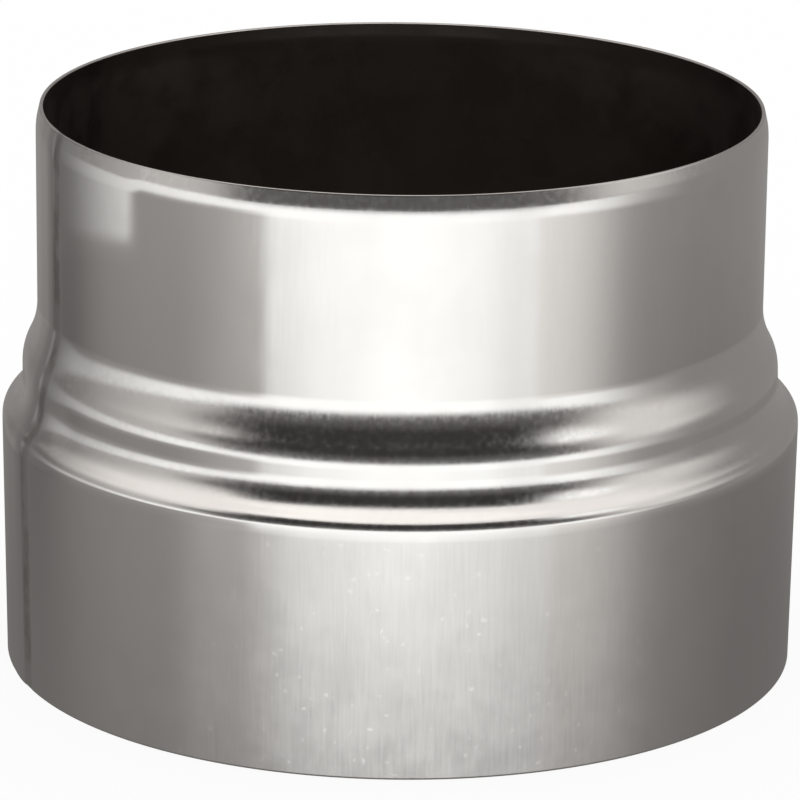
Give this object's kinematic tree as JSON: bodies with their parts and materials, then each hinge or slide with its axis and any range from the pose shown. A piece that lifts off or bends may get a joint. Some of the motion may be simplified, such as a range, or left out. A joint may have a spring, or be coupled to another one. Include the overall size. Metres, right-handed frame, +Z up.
{
  "type": "stove pipe reducer",
  "caption": "Round stainless stove pipe reducer: a wide collar steps in over rounded shoulders to a narrow spigot with a turned-in lip, closed by a welded lap seam.",
  "frame": {"origin": "on the axis, at the level of the collar's open end, which the part stands on", "axes": "+Z up along the pipe's axis, from the collar to the spigot; -Y is the front of the picture's view"},
  "size_m": [0.111, 0.111, 0.0785],
  "materials": {
    "stainless_sheet": "bare cold rolled stainless sheet, half bright, with fine upright grain"
  },
  "bodies": {
    "root": {"reducer_shell": "stainless_sheet"}
  },
  "joints": []
}
